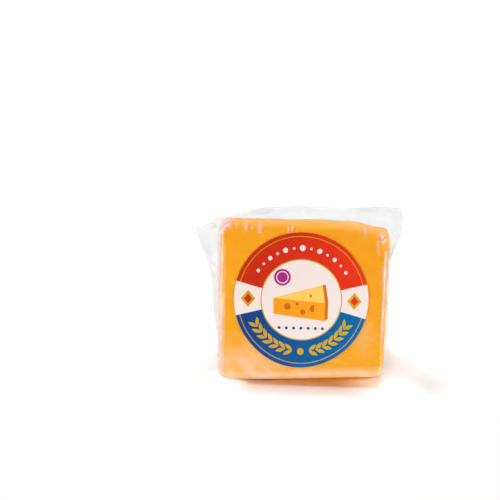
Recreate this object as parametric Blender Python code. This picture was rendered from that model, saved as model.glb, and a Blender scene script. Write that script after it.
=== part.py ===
"""A wedge of hard cheese, vacuum sealed in clear film, with a round label on one face.

The wedge stands on its rind, with its rounded tip up as a ridge. +X runs along the ridge,
-Y is the labelled face and +Z is up. The origin is the middle of the resting face.
"""
import math

import bpy
from mathutils import Vector

# Driving dimensions of the wedge, in metres
LENGTH = 0.1222                     # along the ridge, which is the height of the cheese wheel
HEIGHT = 0.113                      # from the resting face to the top of the ridge
HALF_ANGLE = math.radians(16.3)     # each face leans in by this much
RIDGE_RADIUS = 0.008                # the tip of the wedge, pressed round by the film
CORNER_RADIUS = 0.006               # where a face meets the rind
RIND_RADIUS = 0.060                 # the rind curves up from the resting strip to the corners
REST_HALF_WIDTH = 0.014             # flat strip of the rind that the wedge stands on
END_RADIUS = 0.0045                 # round of the film over the edges of both ends
FACE_CROWN = 0.0008                 # how far a face swells in its middle
END_CROWN = 0.0012                  # the same for the two ends

# Where the block is out of true
RIDGE_DIP_START = 0.034             # the ridge slopes down from here to its right end
RIDGE_DIP_SLOPE = 0.235
RIDGE_DIP_BLEND = 0.003
RIDGE_DIP_FLOOR = 0.55 * HEIGHT     # below this height nothing dips
TIP_DROP_LEFT = 0.0030              # the ridge rounds off at its ends
TIP_DROP_RIGHT = 0.0010
FOOT_LIFT = 0.0040                  # and the foot of each end rises from the table
FOOT_BAND = 0.030
END_BAND = 0.010                    # length of both of these
RIGHT_FOOT_PULL = 0.0022            # the right end leans in towards its foot
RIND_TWIST = 0.0020                 # the front edge of the rind is lower on the left
TWIST_START = 0.021                 # from here to the corner, measured from the middle
TWIST_END = 0.033
UNEVENNESS = 0.00035                # slow waves of the faces

# Film gathered into a knot over the right end of the ridge
KNOT_PLACE = (0.0575, 0.1080)
KNOT_HEIGHT = 0.0020
KNOT_RADIUS = 0.0055

# Label
LABEL_RADIUS = 0.0482
LABEL_THICKNESS = 0.0004
LABEL_GAP = 0.0003
LABEL_X = -0.0013
LABEL_HEIGHT = 0.060                # of its centre

# Film that stands out flat round the wedge, in the plane of the ridge
FIN_THICKNESS = 0.0008
FIN_FOCUS = (0.0, 0.050)            # its lines run towards this X and height
FIN_ROOT_X = 0.054                  # and start inside the wedge, this far out
FIN_ROOT_Z = 0.103                  # and no higher than this
FIN_WAVE = 0.0016
FIN_WAVES = 7.0
FLAP_LEAN = 0.0030                  # the left flap leans back at its tip

# Outer edge of that film as X and height, from the foot of the left end to the right end
FIN_EDGE = [
    (-0.0625, 0.012),
    (-0.0648, 0.024),
    (-0.0660, 0.040),
    (-0.0672, 0.060),
    (-0.0695, 0.073),
    (-0.0720, 0.083),
    (-0.0755, 0.092),
    (-0.0788, 0.1035),
    (-0.0735, 0.1052),
    (-0.0690, 0.1083),
    (-0.0655, 0.1090),
    (-0.0645, 0.1138),
    (-0.0540, 0.1150),
    (-0.0400, 0.1192),
    (-0.0200, 0.1221),
    (0.0050, 0.1240),
    (0.0280, 0.1229),
    (0.0450, 0.1233),
    (0.0600, 0.1245),
    (0.0685, 0.1222),
    (0.0692, 0.1060),
    (0.0660, 0.0950),
    (0.0632, 0.0870),
    (0.0605, 0.0790),
]

# How finely the surfaces are divided
REST_STEPS = 2
RIND_STEPS = 4
CORNER_STEPS = 5
FACE_STEPS = 16
RIDGE_STEPS = 6
END_STEPS = 5
MIDDLE_STEPS = 24
END_RINGS = [0.84, 0.66, 0.46, 0.24]
LABEL_SPOKES = 56
LABEL_RINGS = 6
FIN_COLUMNS = 84
FIN_ROWS = [0.0, 0.4, 0.6, 0.8, 1.0]

# Colours as linear values
CHEESE_COLOUR = (0.91, 0.37, 0.02, 1.0)
LABEL_RED = (0.78, 0.035, 0.02, 1.0)
LABEL_CREAM = (0.89, 0.80, 0.76, 1.0)
LABEL_BLUE = (0.012, 0.09, 0.33, 1.0)
LABEL_CENTRE = 0.58                 # share of the label's radius that is cream


def smooth_step(low, high, value):
    """0 below low, 1 above high and a smooth rise between."""
    share = min(max((value - low) / (high - low), 0.0), 1.0)
    return share * share * (3.0 - 2.0 * share)


def face_distance():
    """Distance of a face's plane from the line that the two angles are measured from."""
    return RIDGE_RADIUS + (HEIGHT - RIDGE_RADIUS) * math.sin(HALF_ANGLE)


def corner_centre():
    """Centre of the round corner that touches both the face and the curved rind."""
    normal = Vector((math.cos(HALF_ANGLE), math.sin(HALF_ANGLE)))
    upward = Vector((-math.sin(HALF_ANGLE), math.cos(HALF_ANGLE)))
    start = normal * (face_distance() - CORNER_RADIUS)
    reach = start - Vector((REST_HALF_WIDTH, RIND_RADIUS))
    along = reach.dot(upward)
    spread = along ** 2 - reach.length_squared + (RIND_RADIUS - CORNER_RADIUS) ** 2
    return start + upward * (-along - math.sqrt(spread))


def arc(centre, radius, first, last, steps):
    """Points of an arc with their normals. An angle of 0 points down and 90 degrees to +Y."""
    points = []
    for step in range(1, steps + 1):
        angle = first + (last - first) * step / steps
        normal = Vector((math.sin(angle), -math.cos(angle)))
        points.append((centre + normal * radius, normal, 0.0))
    return points


def half_section(inset):
    """The outline of the +Y half from the middle of the base up to the ridge.

    Each entry holds the point as (y, z), its normal, and how far it swells with the face.
    """
    corner = corner_centre()
    rind = Vector((REST_HALF_WIDTH, RIND_RADIUS))
    ridge = Vector((0.0, HEIGHT - RIDGE_RADIUS))
    rind_end = math.atan2(corner.x - rind.x, rind.y - corner.y)
    face_normal = math.pi / 2 + HALF_ANGLE
    points = []
    for step in range(REST_STEPS + 1):
        share = step / REST_STEPS
        points.append((Vector((REST_HALF_WIDTH * share, inset)), Vector((0.0, -1.0)), 0.0))
    points += arc(rind, RIND_RADIUS - inset, 0.0, rind_end, RIND_STEPS)
    points += arc(corner, CORNER_RADIUS - inset, rind_end, face_normal, CORNER_STEPS)
    low, normal, _ = points[-1]
    high = ridge + normal * (RIDGE_RADIUS - inset)
    for step in range(1, FACE_STEPS + 1):
        share = step / FACE_STEPS
        points.append((low.lerp(high, share), normal, math.sin(math.pi * share)))
    points += arc(ridge, RIDGE_RADIUS - inset, face_normal, math.pi, RIDGE_STEPS)
    return points


def end_share(x):
    """How far along the last stretch before either end a point lies, from 0 to 1."""
    return min(max((abs(x) - (LENGTH / 2 - END_BAND)) / END_BAND, 0.0), 1.0)


def out_of_true(point):
    """Bend a point of the straight wedge to the real, slightly slumped block."""
    x, y, z = point
    past = x - RIDGE_DIP_START
    dip = RIDGE_DIP_SLOPE * 0.5 * (past + math.sqrt(past * past + RIDGE_DIP_BLEND ** 2))
    z_new = z - dip * smooth_step(RIDGE_DIP_FLOOR, HEIGHT, z)
    tip_drop = TIP_DROP_LEFT if x < 0.0 else TIP_DROP_RIGHT
    z_new -= tip_drop * end_share(x) ** 2 * smooth_step(RIDGE_DIP_FLOOR, HEIGHT, z)
    foot = 1.0 - smooth_step(0.0, FOOT_BAND, z)
    z_new += FOOT_LIFT * end_share(x) ** 2 * foot
    z_new += RIND_TWIST * (2.0 * x / LENGTH) * foot * smooth_step(TWIST_START, TWIST_END, -y)
    x_new =x - RIGHT_FOOT_PULL * (1.0 - min(z / HEIGHT, 1.0)) * smooth_step(0.0, LENGTH / 2, x)
    return Vector((x_new, y, z_new))


def unevenness(x, z):
    """Slow waves of a face, left out where the wedge stands on the table."""
    waves = math.sin(x * 95.0 + 0.7) * math.sin(z * 70.0 + 1.1)
    waves += 0.6 * math.sin(x * 190.0 + z * 60.0)
    return UNEVENNESS * waves * smooth_step(0.004, 0.020, z)


def knot(x, z):
    """The swelling of the film where it is gathered at the end of the ridge."""
    distance = math.hypot(x - KNOT_PLACE[0], z - KNOT_PLACE[1])
    return KNOT_HEIGHT * math.exp(-(distance / KNOT_RADIUS) ** 2)


def surface_point(x, side, outline_point, lift=0.0):
    """A point of the skin at X, on the side of +Y or -Y, moved out by lift."""
    flat, normal, swell = outline_point
    crown = FACE_CROWN * swell * (1.0 - (2.0 * x / LENGTH) ** 2)
    out = crown + unevenness(x, flat.y) + knot(x, flat.y) + lift
    moved = flat + normal * out
    return out_of_true((x, side * moved.x, moved.y))


def ring(x, inset):
    """One closed loop of points round the wedge, starting under its middle."""
    half = half_section(inset)
    right = [surface_point(x, 1.0, entry) for entry in half]
    left = [surface_point(x, -1.0, entry) for entry in half[1:-1]]
    return right + left[::-1]


def end_rings(points, outward):
    """Smaller and smaller loops that close an end with a slight swell."""
    middle = sum(points, Vector()) / len(points)
    loops = []
    for share in END_RINGS:
        swell = Vector((outward * END_CROWN * (1.0 - share ** 2), 0.0, 0.0))
        loops.append([middle.lerp(point, share) + swell for point in points])
    return loops, middle + Vector((outward * END_CROWN, 0.0, 0.0))


def stations():
    """X and inset of each loop, from the left end to the right one."""
    half = LENGTH / 2
    rounded = []
    for step in range(END_STEPS + 1):
        angle = math.pi / 2 * step / END_STEPS
        rounded.append((END_RADIUS * (1 - math.cos(angle)), END_RADIUS * (1 - math.sin(angle))))
    left = [(-half + along, inset) for along, inset in rounded]
    right = [(half - along, inset) for along, inset in rounded]
    span = LENGTH - 2 * END_RADIUS
    middle = [(-span / 2 + span * step / MIDDLE_STEPS, 0.0) for step in range(1, MIDDLE_STEPS)]
    return left + middle + right[::-1]


def new_object(name, points, faces, materials):
    """A mesh object with smooth faces and its materials."""
    mesh = bpy.data.meshes.new(name)
    mesh.from_pydata([tuple(point) for point in points], [], faces)
    mesh.validate()
    for material in materials:
        mesh.materials.append(material)
    mesh.shade_smooth()
    mesh.set_sharp_from_angle(angle=math.radians(50.0))
    thing = bpy.data.objects.new(name, mesh)
    bpy.context.scene.collection.objects.link(thing)
    return thing


def new_material(name, colour, roughness):
    """A plain Principled material."""
    material = bpy.data.materials.new(name)
    material.use_nodes = True
    shader = material.node_tree.nodes["Principled BSDF"]
    shader.inputs["Base Color"].default_value = colour
    shader.inputs["Roughness"].default_value = roughness
    shader.inputs["Metallic"].default_value = 0.0
    return material


def loft(loops):
    """Faces that join each closed loop to the next."""
    count = len(loops[0])
    faces = []
    for row in range(len(loops) - 1):
        for column in range(count):
            near = row * count + column
            side = row * count + (column + 1) % count
            faces.append((near, side, side + count, near + count))
    return faces


def make_block(material):
    """The wedge with the film drawn tight over it."""
    body = [ring(x, inset) for x, inset in stations()]
    left_loops, left_tip = end_rings(body[0], -1.0)
    right_loops, right_tip = end_rings(body[-1], 1.0)
    loops = left_loops[::-1] + body + right_loops
    count = len(body[0])
    points = [point for loop in loops for point in loop]
    faces = loft(loops)
    last = len(points) - count
    points += [left_tip, right_tip]
    for column in range(count):
        following = (column + 1) % count
        faces.append((len(points) - 2, following, column))
        faces.append((len(points) - 1, last + column, last + following))
    return new_object("sealed_wedge", points, faces, [material])


def curve_through(knots, share):
    """A point of the smooth curve through the knots, at a share of its length in knots."""
    place = share * (len(knots) - 1)
    first = min(int(place), len(knots) - 2)
    part = place - first
    before = Vector(knots[max(first - 1, 0)])
    start = Vector(knots[first])
    end = Vector(knots[first + 1])
    after = Vector(knots[min(first + 2, len(knots) - 1)])
    point = start * 2.0 + (end - before) * part
    point += (before * 2.0 - start * 5.0 + end * 4.0 - after) * part ** 2
    point += (start * 3.0 - before - end * 3.0 + after) * part ** 3
    return point * 0.5


def fin_point(share, row):
    """A point of the flat film: row 0 is its root in the wedge and row 1 its free edge."""
    edge = curve_through(FIN_EDGE, share)
    focus = Vector(FIN_FOCUS)
    arm = edge - focus
    reach = FIN_ROOT_X / abs(arm.x)
    if arm.y > 0.0:
        reach = min(reach, (FIN_ROOT_Z - focus.y) / arm.y)
    flat = (focus + arm * reach).lerp(edge, row)
    wave = FIN_WAVE * math.sin(2.0 * math.pi * FIN_WAVES * share + 0.6) * row ** 2
    lean = FLAP_LEAN * row ** 2 * (1.0 - smooth_step(-0.080, -0.060, edge.x))
    return Vector((flat.x, wave + lean, flat.y))


def make_fin(material):
    """The two layers of film that stand out round the ridge and both ends."""
    across = Vector((0.0, FIN_THICKNESS / 2, 0.0))
    loops = []
    for column in range(FIN_COLUMNS + 1):
        line = [fin_point(column / FIN_COLUMNS, row) for row in FIN_ROWS]
        loops.append([point + across for point in line] + [point - across for point in line[::-1]])
    count = len(loops[0])
    points = [point for loop in loops for point in loop]
    first_cap = tuple(range(count))[::-1]
    last_cap = tuple(range(len(points) - count, len(points)))
    return new_object("flat_film", points, loft(loops) + [first_cap, last_cap], [material])


def fuse(body, extra):
    """Join the extra piece to the body and keep only the body."""
    union = body.modifiers.new("join", "BOOLEAN")
    union.operation = "UNION"
    union.solver = "EXACT"
    union.object = extra
    bpy.context.view_layer.update()
    whole = body.evaluated_get(bpy.context.evaluated_depsgraph_get())
    joined = bpy.data.meshes.new_from_object(whole)
    body.modifiers.clear()
    body.data = joined
    bpy.data.objects.remove(extra)


def label_point(radius, angle, lift):
    """A point of the label, which lies on the -Y face and follows its swell."""
    half = half_section(0.0)
    low = half[REST_STEPS + RIND_STEPS + CORNER_STEPS][0]
    high, normal, _ = half[REST_STEPS + RIND_STEPS + CORNER_STEPS + FACE_STEPS]
    upward = (high - low).normalized()
    along = (LABEL_HEIGHT - low.y) / upward.y + radius * math.sin(angle)
    swell = math.sin(math.pi * along / (high - low).length)
    x = LABEL_X + radius * math.cos(angle)
    return surface_point(x, -1.0, (low + upward * along, normal, swell), lift)


def label_field(radius_share, angle):
    """Which of the label's three colours a spot has."""
    if radius_share < LABEL_CENTRE:
        return 1
    return 0 if math.sin(angle) > 0.0 else 2


def make_label(materials):
    """A thin disc just in front of the face."""
    layers = []
    for lift in (LABEL_GAP + LABEL_THICKNESS, LABEL_GAP):
        layer = [label_point(0.0, 0.0, lift)]
        for number in range(1, LABEL_RINGS + 1):
            for spoke in range(LABEL_SPOKES):
                angle = 2.0 * math.pi * spoke / LABEL_SPOKES
                layer.append(label_point(LABEL_RADIUS * number / LABEL_RINGS, angle, lift))
        layers.append(layer)
    size = len(layers[0])
    faces = []
    fields = []
    for spoke in range(LABEL_SPOKES):
        following = (spoke + 1) % LABEL_SPOKES
        angle = 2.0 * math.pi * (spoke + 0.5) / LABEL_SPOKES
        for number in range(LABEL_RINGS):
            field = label_field((number + 0.5) / LABEL_RINGS, angle)
            outer = 1 + number * LABEL_SPOKES
            if number == 0:
                front = (0, outer + spoke, outer + following)
            else:
                inner = outer - LABEL_SPOKES
                front = (inner + spoke, outer + spoke, outer + following, inner + following)
            faces.append(front)
            faces.append(tuple(size + index for index in reversed(front)))
            fields += [field, field]
        rim = 1 + (LABEL_RINGS - 1) * LABEL_SPOKES
        faces.append((rim + following, rim + spoke, size + rim + spoke, size + rim + following))
        fields.append(label_field(1.0, angle))
    label = new_object("label", layers[0] + layers[1], faces, materials)
    label.data.polygons.foreach_set("material_index", fields)
    return label


def build():
    """Clear the scene and make both pieces."""
    for thing in list(bpy.data.objects):
        bpy.data.objects.remove(thing, do_unlink=True)
    cheese = new_material("cheese_in_film", CHEESE_COLOUR, 0.25)
    prints = [
        new_material("label_red", LABEL_RED, 0.3),
        new_material("label_cream", LABEL_CREAM, 0.3),
        new_material("label_blue", LABEL_BLUE, 0.3),
    ]
    block = make_block(cheese)
    fuse(block, make_fin(cheese))
    make_label(prints)


build()
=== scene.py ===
"""Looks of a wedge of hard cheese, vacuum sealed in clear film, with a round label on one face.

Everything is in metres. +X runs along the ridge, -Y is the labelled face and +Z is up.
"""
import math

import bpy
import numpy as np
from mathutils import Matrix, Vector


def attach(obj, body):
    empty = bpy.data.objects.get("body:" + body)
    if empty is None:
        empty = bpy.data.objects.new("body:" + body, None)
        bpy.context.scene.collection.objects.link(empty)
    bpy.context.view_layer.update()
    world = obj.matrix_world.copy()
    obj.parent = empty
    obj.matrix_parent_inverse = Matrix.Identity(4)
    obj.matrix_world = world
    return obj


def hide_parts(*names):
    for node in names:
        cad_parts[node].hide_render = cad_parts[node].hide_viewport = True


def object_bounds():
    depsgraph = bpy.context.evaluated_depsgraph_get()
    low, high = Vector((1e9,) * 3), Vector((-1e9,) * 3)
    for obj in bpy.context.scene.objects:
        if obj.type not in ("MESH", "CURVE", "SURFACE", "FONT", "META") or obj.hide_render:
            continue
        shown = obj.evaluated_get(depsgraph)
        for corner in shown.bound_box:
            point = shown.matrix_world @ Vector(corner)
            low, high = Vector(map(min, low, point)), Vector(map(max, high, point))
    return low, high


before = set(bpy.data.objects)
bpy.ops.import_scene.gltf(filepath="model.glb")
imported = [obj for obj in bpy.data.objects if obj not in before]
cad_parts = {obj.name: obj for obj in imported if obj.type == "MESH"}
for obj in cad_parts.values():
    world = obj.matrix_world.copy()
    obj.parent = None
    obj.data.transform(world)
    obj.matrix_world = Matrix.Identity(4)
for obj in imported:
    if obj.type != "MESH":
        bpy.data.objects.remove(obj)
cad_low, cad_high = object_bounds()

# Driving dimensions of the wedge, the same as in its solids
LENGTH = 0.1222  # along the ridge
HEIGHT = 0.113  # from the floor to the top of the ridge
HALF_ANGLE = math.radians(16.3)  # each face leans in by this much
RIDGE_RADIUS = 0.008
CORNER_RADIUS = 0.006  # where a face meets the rind
RIND_RADIUS = 0.060  # from the resting strip up to the corners
REST_HALF_WIDTH = 0.014
END_RADIUS = 0.0045  # of the film over the edges of both ends
FACE_CROWN = 0.0008  # how far a face swells in its middle
END_CROWN = 0.0012  # the same for the two ends
OUTWARD = np.array((math.cos(HALF_ANGLE), math.sin(HALF_ANGLE)))  # from the back, as (y, z)
FACE_TOP = np.array((0.0, HEIGHT - RIDGE_RADIUS)) + OUTWARD * RIDGE_RADIUS

# Where the block is out of true, as in its solids but with a rounder, softer foot
RIDGE_DIP_START = 0.034  # the ridge slopes down from here to its right end
RIDGE_DIP_SLOPE = 0.235
RIDGE_DIP_BLEND = 0.003
RIDGE_DIP_FLOOR = 0.55 * HEIGHT  # below this height nothing dips
TIP_DROPS = (0.0030, 0.0010)  # the ridge rounds off at its left end and its right one
END_BAND = 0.010  # over this length
FOOT_LIFTS = (0.0060, 0.0020)  # the foot of either end rises from the floor
FOOT_END_BAND = 0.012  # over this length
FOOT_BAND = 0.030  # and less and less up to this height
RIGHT_FOOT_PULL = 0.0022  # the right end leans in towards its foot
RIND_TWIST = 0.0020  # the front edge of the rind is lower on the left
TWIST_REACH = (0.021, 0.033)  # from here to the corner, measured from the middle
FRONT_FOOT_SAG = 0.0029  # its left part sags, at most to the floor
SAG_REACH = (0.026, 0.035)
UNEVENNESS = 0.00035  # slow waves of the faces
UNEVEN_HEIGHTS = (0.004, 0.020)  # from none to all of them

# Film gathered into a knot over the right end of the ridge
KNOT_PLACE = (0.0575, 0.1080)  # as X and height
KNOT_HEIGHT = 0.0020
KNOT_RADIUS = 0.0055

# The cheese lies a little inside the film
CHEESE_INSET = 0.00035
CHEESE_END_GAP = 0.0004
CHEESE_END_RADIUS = 0.0040
CHEESE_CROWN = 0.0008

# Flat film round the wedge: its outer edge as X and height, from the foot at the left
FIN_EDGE = [
    (-0.0625, 0.0120), (-0.0648, 0.0240), (-0.0660, 0.0400), (-0.0672, 0.0600),
    (-0.0695, 0.0730), (-0.0720, 0.0830), (-0.0755, 0.0920), (-0.0788, 0.1035),
    (-0.0735, 0.1052), (-0.0690, 0.1083), (-0.0655, 0.1090), (-0.0645, 0.1138),
    (-0.0540, 0.1150), (-0.0400, 0.1192), (-0.0200, 0.1221), (0.0050, 0.1240),
    (0.0280, 0.1229), (0.0450, 0.1233), (0.0600, 0.1245), (0.0685, 0.1222),
    (0.0692, 0.1060), (0.0660, 0.0950), (0.0632, 0.0870), (0.0605, 0.0790),
]
FIN_FOCUS = (0.0, 0.050)  # its lines run towards this X and height
FIN_ROOT_DEPTH = 0.985  # and end at this share of the way to the skin
FIN_THICKNESS = 0.00022
FIN_WAVE = 0.0016  # of its outer edge to the front and back
FIN_WAVES = 7.0
FIN_WAVE_START = 0.6  # in radians
FIN_CRINKLE = 0.00012
FLAP_LEAN = 0.0030  # the left flap leans back at its tip
FLAP_REACH = (-0.080, -0.060)  # from all of the lean at the first X to none
FIN_SEAL = (0.45, 0.55, 0.80, 0.88)  # where its welded band starts, is full, fades and ends
FIN_COLUMNS = 320
FIN_ROWS = 16

# How finely the surfaces are divided
FILM_CELL = 0.00067
CHEESE_CELL = 0.0013
BACK_CELL = 2.0  # on the other half, as a multiple
END_REACH = 0.034  # an end has a ring for each cell in this length
END_RIM = 0.86  # from this share of the way out, an end turns into its rim
END_STEPS = 8  # points over the round of an end's edge

# Folds of the film on the front, and painted highlights with no rise by the left corner, side and
# foot: places as X and height, then width, rise and whiteness. The whiteness is painted
# highlight, partly also film whitened at its creases
FRONT_FOLDS_AND_HIGHLIGHTS = [
    ([(-0.0490, 0.1120), (-0.0476, 0.1084)], 0.0006, 0.0003, 0.45),
    ([(-0.0432, 0.1110), (-0.0424, 0.1058)], 0.0005, 0.0002, 0.30),
    ([(-0.0418, 0.1130), (-0.0412, 0.1055)], 0.0009, 0.0004, 0.50),
    ([(-0.0379, 0.1100), (-0.0372, 0.1062)], 0.0006, 0.0002, 0.35),
    ([(-0.0361, 0.1105), (-0.0355, 0.1085)], 0.0005, 0.0002, 0.30),
    ([(-0.0306, 0.1126), (-0.0324, 0.1040)], 0.0015, 0.0003, 0.50),
    ([(-0.0113, 0.1104), (-0.0116, 0.1044)], 0.0006, 0.0003, 0.50),
    ([(-0.0083, 0.1118), (-0.0092, 0.1055)], 0.0007, 0.0003, 0.50),
    ([(0.0426, 0.1128), (0.0436, 0.1050)], 0.0014, 0.0003, 0.42),
    ([(0.0541, 0.1128), (0.0550, 0.1082), (0.0577, 0.1122)], 0.0007, 0.0001, 0.75),
    ([(0.0551, 0.1045), (0.0587, 0.1096)], 0.0009, 0.0001, 0.85),
    ([(0.0528, 0.1083), (0.0523, 0.1015), (0.0535, 0.0972), (0.0551, 0.0932)],
     0.0007, 0.0003, 0.50),
    ([(0.0553, 0.0896), (0.0571, 0.0827), (0.0572, 0.0724), (0.0592, 0.0635)],
     0.0009, 0.0002, 0.35),
    ([(0.0570, 0.1060), (0.0585, 0.0975), (0.0588, 0.0850), (0.0587, 0.0615), (0.0585, 0.0441),
      (0.0584, 0.0180)], 0.0009, 0.0002, 0.75),
    # painted highlights with no fold under them: round the top left corner, down the left side
    # and by the left foot
    ([(-0.0606, 0.0960), (-0.0604, 0.1070), (-0.0592, 0.1114), (-0.0566, 0.1126),
      (-0.0490, 0.1138)], 0.0016, 0.0, 0.90),
    ([(-0.0600, 0.1040), (-0.0590, 0.1082), (-0.0562, 0.1100), (-0.0505, 0.1108)],
     0.0020, 0.0, 0.80),
    ([(-0.0602, 0.1040), (-0.0598, 0.0940), (-0.0589, 0.0796), (-0.0584, 0.0530)],
     0.0008, 0.0, 0.65),
    ([(-0.0612, 0.0700), (-0.0611, 0.0450), (-0.0611, 0.0266), (-0.0606, 0.0125)],
     0.0012, 0.0, 0.80),
    ([(-0.0585, 0.0078), (-0.0545, 0.0054)], 0.0009, 0.0, 0.60),
]

# Pleats under the ridge on the other face
PLEATS = 12
FIRST_PLEAT = -0.052  # its X, and then the step to the next
PLEAT_STEP = 0.0085
PLEAT_TOP = 0.1120
PLEAT_RISE = 0.5  # as a share of its width
BACK_LINES = (-0.0588, 0.0590)  # X of a line of film by either end
BACK_LINE_WIDTH = 0.0008
BACK_LINE_RISE = 0.0005
# painted highlight along the pleats and lines, partly also film whitened at its creases
BACK_WHITENESS = 0.5

# Gusset folds over an end: places as the way across and height, then width and rise
END_FOLDS = [
    ([(0.0010, 0.0720), (0.0250, 0.0120)], 0.0010, 0.0007),
    ([(0.0005, 0.0690), (0.0130, 0.0100)], 0.0009, 0.0006),
    ([(-0.0010, 0.0600), (-0.0210, 0.0110)], 0.0010, 0.0006),
    ([(-0.0240, 0.0085), (0.0250, 0.0080)], 0.0009, 0.0006),
]
RUNGS = 6  # short folds one above the other, below the ridge
FIRST_RUNG = 0.0740
RUNG_STEP = 0.0047
END_SEAM = 0.0008  # the film edge's root stands out by this much down the middle
END_SEAM_WIDTH = 0.0040
# painted highlight along the gusset folds, partly also film whitened at its creases
END_WHITENESS = 0.25
END_UNEVENNESS = 0.00020
FILM_GRAIN = 0.00006  # small waves of the film all over
FILM_BLEND = 0.003  # front and back folds merge within this far from the middle

# How milky the film is, from 0 to 1
FILM_HAZE = 0.01
LEFT_EDGE = (-0.0625, -0.0555)  # from all of it at the first X to none
LEFT_EDGE_HAZE = 0.10
LOW_LEFT_HAZE = 0.80  # and this much more low down on the front
RIGHT_EDGE = (0.0585, 0.0605)
RIGHT_EDGE_HAZE = 0.02
END_HAZE = 0.24
END_MOTTLING = 0.16
FIN_HAZE = 0.17
FIN_SEAL_HAZE = 0.04
FIN_MOTTLING = 0.06
FIN_RIM_HAZE = 0.12

# How pale the cheese looks, from 0 to 1: where the film clings less, and as painted reflection of
# the floor low down and along the foot and painted highlight along the ridge
CLOUDS = (0.13, 0.28, 0.25)  # lower left on the front, partly where the film clings less and partly painted reflection of the floor: all over, in blotches, in streaks
# painted reflection of the floor, even over the lower part of the front
LOW_REFLECTION = 0.02
FOOT_HEIGHT = 0.0108  # of the painted reflection of the floor along the foot at the left, and its rise to the right
FOOT_RISE = 0.0022
# painted reflection of the floor on the rounded foot
FOOT_REFLECTION = 0.34
FOOT_RIM_REFLECTION = 0.18
# painted highlight along the ridge, laid into the cheese's colour
RIDGE_HIGHLIGHT = 0.20
PATCH_PLACE = (0.045, 0.037)  # a pale patch by the label, as X and height
PATCH_SIZE = (0.006, 0.011)
PATCH_BLOOM = 0.25
STRIP_EDGE = -0.0558  # the inner edge of the pale strip at the left
STRIP_TOP = (0.093, 0.099)  # it narrows and ends between these heights
STRIP_BLOOM = 0.55
BACK_CLOUDS = (0.10, 0.28, 0.16)  # lower half of the back: all over, in blotches, in streaks
BACK_UPPER_BLOOM = 0.08
BACK_FOOT_REFLECTION = 0.35
BACK_EDGE_BLOOM = 0.25
END_BLOOM = 0.35  # and as much again in blotches
LOW_BLEND = 0.014  # front and back merge within this far from the middle
RIDGE_BLEND = 0.004


def rise(low, high, value):
    """0 below low, 1 above high and a smooth rise between."""
    share = np.clip((value - low) / (high - low), 0.0, 1.0)
    return share * share * (3.0 - 2.0 * share)


def fall(low, high, value):
    """1 below low, 0 above high and a smooth fall between."""
    return 1.0 - rise(low, high, value)


def ripple(coordinates, size, seed):
    """Soft random waves about size long, mostly between -1 and 1."""
    random = np.random.default_rng(seed)
    total = 0.0
    waves = 14
    for _ in range(waves):
        direction = random.normal(size=len(coordinates))
        direction /= np.linalg.norm(direction)
        length = size * random.uniform(0.65, 1.6)
        phase = random.uniform(0.0, 2.0 * math.pi)
        place = sum(part * values for part, values in zip(direction, coordinates))
        total = total + np.sin(2.0 * math.pi * place / length + phase)
    return total / math.sqrt(waves)


def fold(across, up, places, width):
    """A raised line through the places: 1 on its crest, and fading out at both ends."""
    lengths = [math.dist(*pair) for pair in zip(places, places[1:])]
    done = 0.0
    crest = 0.0
    for start, end, length in zip(places, places[1:], lengths):
        run = (end[0] - start[0], end[1] - start[1])
        share = ((across - start[0]) * run[0] + (up - start[1]) * run[1]) / length ** 2
        share = np.clip(share, 0.0, 1.0)
        distance = np.hypot(across - start[0] - share * run[0], up - start[1] - share * run[1])
        place = (done + share * length) / sum(lengths)
        taper = rise(0.0, 0.20, place) * fall(0.65, 1.0, place)
        crest = np.maximum(crest, taper * np.exp(-(distance / width) ** 2))
        done += length
    return crest


# Form of the wedge

def arc(centre, radius, first, last, cell):
    """Points of an arc with their normals. An angle of 0 points down and 90 degrees to +Y."""
    count = max(2, round(radius * abs(last - first) / cell))
    angles = first + (last - first) * np.arange(1, count + 1) / count
    normals = np.stack([np.sin(angles), -np.cos(angles)], axis=1)
    return np.array(centre) + radius * normals, normals


def corner_centre():
    """Centre of the round corner that touches both the face and the curved rind."""
    upward = Vector((-math.sin(HALF_ANGLE), math.cos(HALF_ANGLE)))
    face_distance = RIDGE_RADIUS + (HEIGHT - RIDGE_RADIUS) * math.sin(HALF_ANGLE)
    start = Vector(OUTWARD) * (face_distance - CORNER_RADIUS)
    reach = start - Vector((REST_HALF_WIDTH, RIND_RADIUS))
    along = reach.dot(upward)
    spread = along ** 2 - reach.length_squared + (RIND_RADIUS - CORNER_RADIUS) ** 2
    return start + upward * (-along - math.sqrt(spread))


def straight(low, high, cell):
    """Points from low to high, without low."""
    count = max(2, round(math.dist(low, high) / cell))
    shares = np.arange(1, count + 1)[:, None] / count
    return np.array(low) + (np.array(high) - np.array(low)) * shares


def half_outline(cell):
    """The +Y half from the middle of the base to the ridge: points as (y, z), normals, swell."""
    corner = corner_centre()
    rind_end = math.atan2(corner.x - REST_HALF_WIDTH, RIND_RADIUS - corner.y)
    face_turn = math.pi / 2 + HALF_ANGLE
    rest = np.vstack([[(0.0, 0.0)], straight((0.0, 0.0), (REST_HALF_WIDTH, 0.0), cell)])
    down = np.tile((0.0, -1.0), (len(rest), 1))
    rind, rind_normals = arc((REST_HALF_WIDTH, RIND_RADIUS), RIND_RADIUS, 0.0, rind_end, cell)
    turn, turn_normals = arc(corner, CORNER_RADIUS, rind_end, face_turn, cell)
    face = straight(turn[-1], FACE_TOP, cell)
    face_normals = np.tile(OUTWARD, (len(face), 1))
    ridge_centre = (0.0, HEIGHT - RIDGE_RADIUS)
    ridge, ridge_normals = arc(ridge_centre, RIDGE_RADIUS, face_turn, math.pi, cell)
    swell = np.sin(math.pi * np.arange(1, len(face) + 1) / len(face))
    swell = np.pad(swell, (len(rest) + len(rind) + len(turn), len(ridge)))
    normals = np.vstack([down, rind_normals, turn_normals, face_normals, ridge_normals])
    return np.vstack([rest, rind, turn, face, ridge]), normals, swell


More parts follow.
